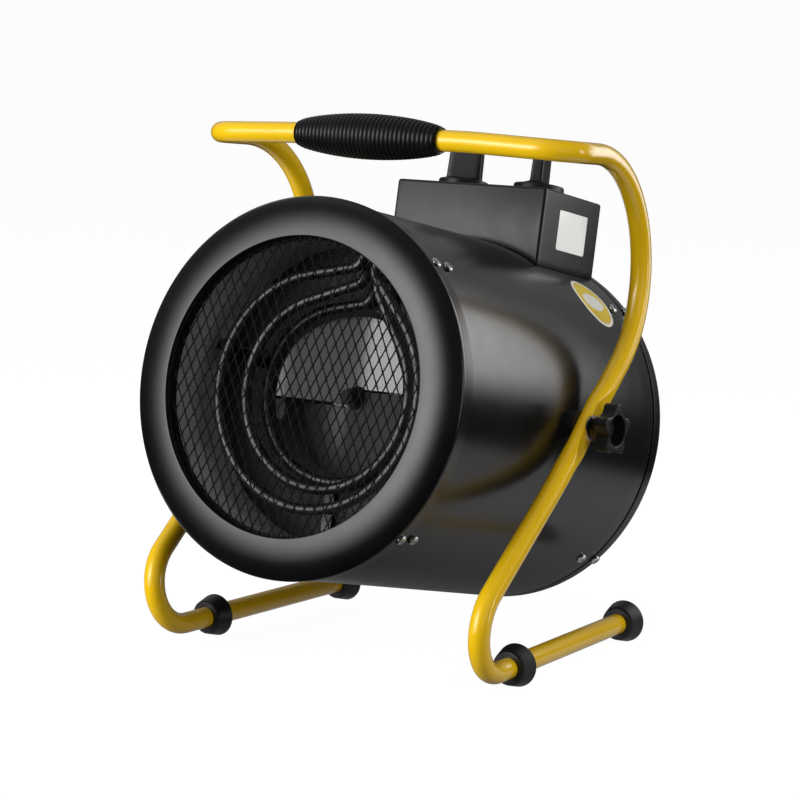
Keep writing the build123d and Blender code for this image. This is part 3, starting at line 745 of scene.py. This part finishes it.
def star_knob():
    o = star_outline()
    n = len(o)
    nx = np.roll(o, -1, 0) - np.roll(o, 1, 0)
    nrm = np.stack([nx[:, 1], -nx[:, 0]], -1)
    nrm /= np.linalg.norm(nrm, axis=1)[:, None]
    ang = np.arctan2(o[:, 1], o[:, 0])
    circ = lambda r: np.stack([r * np.cos(ang), r * np.sin(ang)], -1)
    rings = []

    def add(x, shape):
        rings.append(np.stack([np.full(n, x), PIVOT_Y + shape[:, 0], PIVOT_Z + shape[:, 1]], -1))

    back = K1 - 11.5
    add(K0, circ(7.6))
    add(K0, circ(8.1))
    add(K0 + 0.5, circ(8.6))
    for k in range(1, 5):
        t = k / 4
        add(K0 + 0.5 + (back - 0.6 - K0 - 0.5) * t, circ(8.6 + 2.6 * t ** 1.4))
    mixr = lambda t, inset: circ(11.2) * (1 - t) + (o - nrm * inset) * t
    add(back - 0.15, mixr(0.35, 1.2))
    add(back, mixr(0.7, 1.2))
    add(back, o - nrm * 1.15)
    for k in range(1, 6):
        a = math.pi / 2 * k / 5
        add(back + 0.9 * (1 - math.cos(a)), o - nrm * (1.15 - 0.9 * math.sin(a)))
    for k in range(1, 7):
        t = k / 7
        add(back + 0.9 + (11.5 - 1.9) * t, o - nrm * (0.25 - 0.25 * t))
    for k in range(0, 7):
        a = math.pi / 2 * k / 6
        add(K1 - 1.0 + 1.0 * math.sin(a), o - nrm * (1.0 - math.cos(a)))
    lip = circ(12.5)
    face = o - nrm * 1.0
    rad_f = np.linalg.norm(face, axis=1)
    lip = np.where((rad_f < 12.9)[:, None], face * (12.5 / np.maximum(rad_f, 1e-6))[:, None], lip)
    add(K1, face * 0.5 + lip * 0.5)
    add(K1, lip)
    for k in range(1, 6):
        a = math.pi / 2 * k / 5
        add(K1 - 0.7 * (1 - math.cos(a)), circ(12.5 - 0.7 * math.sin(a)))
    add(K1 - 4.0, circ(11.7))
    add(K1 - 9.4, circ(11.6))
    for k in range(1, 5):
        a = math.pi / 2 * k / 4
        add(K1 - 9.4 - 0.6 * math.sin(a), circ(11.6 - 0.6 * (1 - math.cos(a))))
    add(K1 - 10.0, circ(8.0))
    add(K1 - 10.0, circ(3.0))
    return rings_mesh(R(np.array(rings)), closed=False, cap0=True, cap1=True)


v, f = star_knob()
piece("star_knob_right", v, f, "clamp_knob_right", plastic.m, ["clamp_knob_right"], sharp=40, merge=2e-6)
v, f = mirrored(v, f)
piece("star_knob_left", v, f, "clamp_knob_left", plastic.m, ["clamp_knob_left"], sharp=40, merge=2e-6)


# ----------------------------------------------------------- selector knobs
def sup(a, b, e, n=144):
    t = np.linspace(0, 2 * math.pi, n, endpoint=False)
    c, s = np.cos(t), np.sin(t)
    rad = (np.abs(c / a) ** e + np.abs(s / b) ** e) ** (-1 / e)
    return np.stack([rad * c, rad * s], -1)


def selector(x0, turn):
    rings = []
    base = BOX_TOP + 0.3

    def add(h, shape):
        rings.append(np.stack([shape[:, 0], np.full(len(shape), h), shape[:, 1]], -1))

    add(0.0, sup(19.6, 19.6, 2))
    add(0.3, sup(20.1, 20.1, 2))
    add(0.9, sup(20.2, 20.2, 2))
    add(5.0, sup(19.9, 19.9, 2))
    for k in range(1, 8):
        a = math.pi / 2 * k / 7
        add(5.0 + 1.5 * math.sin(a), sup(19.9 - 1.6 * (1 - math.cos(a)), 19.9 - 1.6 * (1 - math.cos(a)), 2))
    add(6.75, sup(17.2, 17.2, 2))
    add(6.95, sup(15.6, 15.6, 2))
    for k in range(1, 9):
        t = k / 8
        w = t ** 0.9
        add(6.95 + 1.6 * t ** 2.2, sup(15.6 - 1.7 * w, 15.6 - 10.3 * w, 2 + 6.5 * t ** 1.5))
    for k in range(1, 9):
        t = k / 8
        add(8.55 + 20.6 * t, sup(13.9 - 0.5 * t, 5.3 - 0.35 * t, 8.5))
    for k in range(1, 7):
        a = math.pi / 2 * k / 6
        add(29.15 + 1.3 * math.sin(a), sup(13.4 - 1.3 * (1 - math.cos(a)), 4.95 - 1.3 * (1 - math.cos(a)), 8.5))
    add(30.45, sup(10.0, 1.8, 5))
    v, f = rings_mesh(np.array(rings), closed=False, cap0=True, cap1=True)
    a = math.radians(turn)
    vx = v[:, 0] * math.cos(a) - v[:, 2] * math.sin(a)
    vs = v[:, 0] * math.sin(a) + v[:, 2] * math.cos(a)
    return W(np.stack([x0 + vx, KNOB_S + vs, base + v[:, 1]], -1)), f


def pointer(x0, turn):
    """white inlay along the top of the bar"""
    rings = []
    for t, h in ((5.2, 30.42), (5.4, 30.5), (11.8, 30.5), (11.95, 30.45)):
        rings.append([(t, -0.7, h - 0.3), (t, 0.7, h - 0.3), (t, 0.7, h), (t, 0.45, h + 0.05), (t, -0.45, h + 0.05), (t, -0.7, h)])
    r = np.array(rings)
    v, f = rings_mesh(r, closed=False, cap0=True, cap1=True)
    a = math.radians(turn)
    vx = v[:, 0] * math.cos(a) - v[:, 1] * math.sin(a)
    vs = v[:, 0] * math.sin(a) + v[:, 1] * math.cos(a)
    return W(np.stack([x0 + vx, KNOB_S + vs, BOX_TOP + 0.3 + v[:, 2]], -1)), f


white = Mat("white_print", (0.78, 0.78, 0.76), 0.4)
white.colour(white.ramp(white.noise(80, 3), [(0.3, (0.70, 0.70, 0.68)), (0.7, (0.82, 0.82, 0.80))]))
white.roughness(white.rng(white.noise(200, 3), 0.34, 0.46))
for nm, body, node, x0, turn in (("mode_dial", "mode_selector", "mode_knob", -KNOB_X, 16.5), ("thermostat_dial", "thermostat_selector", "thermostat_knob", KNOB_X, 106.5)):
    v, f = selector(x0, turn)
    piece(nm, v, f, body, plastic.m, [node], sharp=40)
    v, f = pointer(x0, turn)
    piece(nm + "_pointer", v, f, body, white.m, sharp=30)


# ------------------------------------------------------------ label, sticker
def plate(x, s0, s1, n0, n1, r, thick):
    o = rect_outline((s1 - s0) / 2, n0, n1, r, seg=6, per=1)
    o = o + np.array([(s0 + s1) / 2, 0])
    ctr = o.mean(0)
    rings = []
    for dx_, k in ((0.0, 1.0), (thick * 0.7, 1.0), (thick, 0.997)):
        q = ctr + (o - ctr) * k
        rings.append(np.stack([np.full(len(q), x + dx_), q[:, 0], q[:, 1]], -1))
    return rings_mesh(W(np.array(rings)), closed=False, cap0=True, cap1=True)


glowing_label_mat = Mat("label_film_painted_glow", (0.93, 0.94, 0.95), 0.38)
glowing_label_mat.colour(glowing_label_mat.ramp(glowing_label_mat.noise(60, 3), [(0.3, (0.92, 0.93, 0.94)), (0.7, (0.96, 0.965, 0.97))]))
# painted glow: the blank label emits a little light of its own (strength 0.16), so it reads whiter than the lamps alone
# make it
glowing_label_mat.b.inputs["Emission Color"].default_value = (1, 1, 1, 1)
glowing_label_mat.b.inputs["Emission Strength"].default_value = 0.16
glowing_label_mat.roughness(glowing_label_mat.rng(glowing_label_mat.noise(150, 3), 0.32, 0.44))
v, f = plate(BOX_X + 0.005, 64.5, 108.9, 136.8, 167.8, 1.6, 0.14)
piece("rating_label_blank", v, f, "barrel", glowing_label_mat.m, sharp=30)

SA, SS = math.radians(43.7), 84.5      # sticker centre: angle round the drum, place along it
SR = DRUM_R + 0.01


def sticker(a_half, s_half, lift0, lift1, name, mat, rings_n=14, n=96):
    t = np.linspace(0, 2 * math.pi, n, endpoint=False)
    rings = []
    for lift, ks in ((lift0, (0.0, 0.5, 1.0)), (lift1, [1.0 - 0.012] + list(np.linspace(0.95, 0.0, rings_n)))):
        for k in ks:
            u_, w_ = a_half * k * np.cos(t), s_half * k * np.sin(t)
            a = SA + u_ / DRUM_R
            r = SR + lift
            rings.append(np.stack([r * np.sin(a), SS + w_, r * np.cos(a)], -1))
    v, f = rings_mesh(W(np.array(rings)), closed=False)
    return piece(name, v, f, "barrel", mat, sharp=30, merge=5e-7)


cream = Mat("sticker_film", (0.90, 0.87, 0.74), 0.34)
cream.colour(cream.ramp(cream.noise(60, 3), [(0.3, (0.88, 0.84, 0.70)), (0.7, (0.93, 0.90, 0.80))]))
cream.roughness(cream.rng(cream.noise(150, 3), 0.28, 0.4))
gold = Mat("sticker_gold_line", (0.55, 0.40, 0.10), 0.3)
gold.colour(gold.ramp(gold.noise(90, 3), [(0.3, (0.50, 0.36, 0.09)), (0.7, (0.62, 0.46, 0.14))]))
sun = Mat("sticker_yellow", (0.80, 0.60, 0.02), 0.32)
sun.colour(sun.ramp(sun.noise(60, 3), [(0.3, (0.76, 0.55, 0.015)), (0.7, (0.84, 0.65, 0.03))]))
sun.roughness(sun.rng(sun.noise(150, 3), 0.26, 0.38))
pale = Mat("sticker_white", (0.88, 0.88, 0.85), 0.34)
pale.colour(pale.ramp(pale.noise(60, 3), [(0.3, (0.86, 0.86, 0.83)), (0.7, (0.92, 0.92, 0.89))]))
pale.roughness(pale.rng(pale.noise(150, 3), 0.28, 0.4))
sticker(24.1, 20.9, 0.0, 0.10, "oval_sticker", cream.m)
sticker(21.3, 18.2, 0.08, 0.13, "oval_sticker_line", gold.m)
sticker(20.5, 17.4, 0.12, 0.16, "oval_sticker_field", sun.m)
sticker(9.0, 13.6, 0.15, 0.19, "oval_sticker_middle", pale.m)

# --------------------------------------------------------------------- stage
scene = bpy.context.scene
scene.view_settings.view_transform = "Standard"

cam_data = bpy.data.cameras.new("camera")
cam = bpy.data.objects.new("camera", cam_data)
scene.collection.objects.link(cam)
right = Vector((0.841842, 0.539549, 0.013703))
upv = Vector((-0.090827, 0.116595, 0.989018))
backv = Vector((0.532026, -0.833842, 0.14716))
cam.matrix_world = Matrix(((right.x, upv.x, backv.x, 1.282505), (right.y, upv.y, backv.y, -2.024198), (right.z, upv.z, backv.z, 0.54758), (0, 0, 0, 1)))
cam_data.lens = 142.4638935
cam_data.sensor_width = 36.0
cam_data.clip_end = 200
scene.camera = cam


def direction(az, el):
    a, e = math.radians(az), math.radians(el)
    return (math.sin(a) * math.cos(e), -math.cos(a) * math.cos(e), math.sin(e))


world = bpy.data.worlds.new("studio")
scene.world = world
world.use_nodes = True
world.cycles.sampling_method = "NONE"
wn, wl = world.node_tree.nodes, world.node_tree.links
wn.clear()
coord = wn.new("ShaderNodeTexCoord")


def wmath(op, a, b=None, c=None, clamp=False):
    m = wn.new("ShaderNodeMath")
    m.operation = op
    m.use_clamp = clamp
    for i, v_ in enumerate((a, b, c)):
        if v_ is None:
            continue
        if isinstance(v_, (int, float)):
            m.inputs[i].default_value = v_
        else:
            wl.new(v_, m.inputs[i])
    return m.outputs[0]


def lobe(az, el, spread, power, squash_el=1.0):
    """soft round patch of light: exp(-(angle / spread)^2)"""
    dot = wn.new("ShaderNodeVectorMath")
    dot.operation = "DOT_PRODUCT"
    wl.new(coord.outputs["Generated"], dot.inputs[0])
    dot.inputs[1].default_value = direction(az, el)
    k = 2.0 / math.radians(spread) ** 2
    e = wmath("EXPONENT", wmath("MULTIPLY", wmath("SUBTRACT", dot.outputs["Value"], 1.0), k))
    return wmath("MULTIPLY", e, power)


sep = wn.new("ShaderNodeSeparateXYZ")
wl.new(coord.outputs["Generated"], sep.inputs[0])
z = sep.outputs["Z"]


def step(a, b, lo, hi):
    m = wn.new("ShaderNodeMapRange")
    m.interpolation_type = "SMOOTHSTEP"
    wl.new(z, m.inputs["Value"])
    for k_, v_ in (("From Min", a), ("From Max", b), ("To Min", lo), ("To Max", hi)):
        m.inputs[k_].default_value = v_
    return m.outputs["Result"]


GLOSS_LOBES = [(-24.5, 14, 16.5, 6.9), (-170, 18, 30, 0.20), (-90, 62, 22, 0.32), (-128, 30, 14, 0.5), (107, -4, 4.5, 5.0), (107, 5, 4.5, 5.0), (107, 14, 4.5, 5.0)]
total = step(-0.05, 0.35, 0.015, 0.074)
for args in GLOSS_LOBES:
    total = wmath("ADD", total, lobe(*args))
ambient = step(-0.4, 0.6, 0.095, 0.085)
path = wn.new("ShaderNodeLightPath")


def shade(strength, colour=(1, 1, 1)):
    bg = wn.new("ShaderNodeBackground")
    bg.inputs["Color"].default_value = (*colour, 1)
    if isinstance(strength, (int, float)):
        bg.inputs["Strength"].default_value = strength
    else:
        wl.new(strength, bg.inputs["Strength"])
    return bg.outputs[0]


def mixs(fac, a, b):
    m = wn.new("ShaderNodeMixShader")
    wl.new(fac, m.inputs[0])
    wl.new(a, m.inputs[1])
    wl.new(b, m.inputs[2])
    return m.outputs[0]


out = wn.new("ShaderNodeOutputWorld")
s1 = mixs(path.outputs["Is Glossy Ray"], shade(ambient, (1.0, 0.87, 0.70)), shade(total))
s2 = mixs(path.outputs["Is Camera Ray"], s1, shade(1.05))
wl.new(s2, out.inputs["Surface"])


def stage_mesh(name, verts, faces):
    me = bpy.data.meshes.new(name)
    me.from_pydata(verts, [], faces)
    ob = bpy.data.objects.new(name, me)
    scene.collection.objects.link(ob)
    return ob


floor = stage_mesh("floor", [(-60, -60, -0.0004), (60, -60, -0.0004), (60, 60, -0.0004), (-60, 60, -0.0004)], [(0, 1, 2, 3)])
fm = Mat("floor_white", (0.10, 0.10, 0.10), 0.8, spec=0.0)
fm.colour(fm.ramp(fm.noise(0.6, 2), [(0.3, (0.098, 0.098, 0.098)), (0.7, (0.102, 0.102, 0.102))]))
fm.b.inputs["Emission Color"].default_value = (1, 1, 1, 1)
fm.b.inputs["Emission Strength"].default_value = 0.965
floor.data.materials.append(fm.m)
floor.visible_glossy = False
floor.visible_diffuse = False
floor.visible_shadow = False

seg = 96
disc_v = [(0.60 * math.cos(2 * math.pi * k / seg), 0.60 * math.sin(2 * math.pi * k / seg), -0.0006) for k in range(seg)]
glow = stage_mesh("floor_sheen", disc_v, [tuple(range(seg))])
gm = bpy.data.materials.new("floor_sheen")
gm.use_nodes = True
gn, gl_ = gm.node_tree.nodes, gm.node_tree.links
gn.clear()
gc = gn.new("ShaderNodeTexCoord")
gs = gn.new("ShaderNodeSeparateXYZ")
gl_.new(gc.outputs["Object"], gs.inputs[0])


def gmath(op, a, b=None):
    m = gn.new("ShaderNodeMath")
    m.operation = op
    for i, v_ in enumerate((a, b)):
        if isinstance(v_, (int, float)):
            m.inputs[i].default_value = v_
        elif v_ is not None:
            gl_.new(v_, m.inputs[i])
    return m.outputs[0]


def gstep(value, a, b, lo, hi):
    m = gn.new("ShaderNodeMapRange")
    m.interpolation_type = "SMOOTHSTEP"
    gl_.new(value, m.inputs["Value"])
    for k_, v_ in (("From Min", a), ("From Max", b), ("To Min", lo), ("To Max", hi)):
        m.inputs[k_].default_value = v_
    return m.outputs["Result"]


far = gn.new("ShaderNodeVectorMath")
far.operation = "LENGTH"
gl_.new(gc.outputs["Object"], far.inputs[0])
sheen = gmath("MULTIPLY", gstep(gs.outputs["Y"], -0.22, 0.0, 0.02, 0.78), gstep(gmath("ABSOLUTE", gs.outputs["X"]), 0.02, 0.22, 0.14, 0.62))
sheen = gmath("MULTIPLY", sheen, gstep(far.outputs["Value"], 0.42, 0.60, 1.0, 0.0))
ge = gn.new("ShaderNodeEmission")
gl_.new(sheen, ge.inputs["Strength"])
go = gn.new("ShaderNodeOutputMaterial")
gl_.new(ge.outputs[0], go.inputs["Surface"])
glow.data.materials.append(gm)
glow.visible_camera = False
glow.visible_diffuse = False
glow.visible_shadow = False
glow.visible_transmission = False


# a soft box behind the heater on its right, seen only in the gloss of the paint
px0, px1, pz0, pz1, pyy = 0.10, 1.30, 0.02, 1.0, 0.47
panel = stage_mesh("softbox_rear", [(px0, pyy, pz0), (px1, pyy, pz0), (px1, pyy, pz1), (px0, pyy, pz1)], [(0, 1, 2, 3)])
pm = bpy.data.materials.new("softbox_rear")
pm.use_nodes = True
gn, gl_ = pm.node_tree.nodes, pm.node_tree.links
gn.clear()
gc = gn.new("ShaderNodeTexCoord")
gs = gn.new("ShaderNodeSeparateXYZ")
gl_.new(gc.outputs["Object"], gs.inputs[0])
edge = gmath("ADD", gs.outputs["X"], gmath("MULTIPLY", gs.outputs["Z"], 0.55))
glow_p = gmath("MULTIPLY", gstep(edge, 0.43, 0.53, 0.0, 1.0), gstep(gs.outputs["Z"], 0.13, 0.30, 0.0, 1.0))
glow_p = gmath("MULTIPLY", glow_p, gmath("MULTIPLY", gstep(gs.outputs["X"], 0.45, 0.95, 1.0, 0.0), gstep(gs.outputs["Z"], 0.42, 0.75, 1.0, 0.0)))
glow_p = gmath("MULTIPLY", glow_p, 3.3)
ge = gn.new("ShaderNodeEmission")
gl_.new(glow_p, ge.inputs["Strength"])
tr = gn.new("ShaderNodeBsdfTransparent")
ad = gn.new("ShaderNodeAddShader")
gl_.new(ge.outputs[0], ad.inputs[0])
gl_.new(tr.outputs[0], ad.inputs[1])
go = gn.new("ShaderNodeOutputMaterial")
gl_.new(ad.outputs[0], go.inputs["Surface"])
panel.data.materials.append(pm)
panel.visible_camera = False
panel.visible_diffuse = False
panel.visible_shadow = False
panel.visible_transmission = False


def area(name, az, el, dist, size, power, target=(0, 0, 0.2), glossy=False):
    ld = bpy.data.lights.new(name, "AREA")
    ld.shape = "SQUARE"
    ld.size = size
    ld.energy = power
    ob = bpy.data.objects.new(name, ld)
    d = Vector(direction(az, el))
    ob.location = Vector(target) + d * dist
    ob.rotation_euler = d.to_track_quat("Z", "Y").to_euler()
    scene.collection.objects.link(ob)
    ob.visible_camera = False
    ob.visible_glossy = glossy
    return ob


area("key_front_left", -38, 5, 2.6, 1.8, 89)
area("rim_rear_right", 118, 16, 2.4, 0.8, 14)
area("top_soft", 10, 74, 2.6, 2.0, 20)
area("fill_right", 60, 14, 2.6, 1.5, 27)
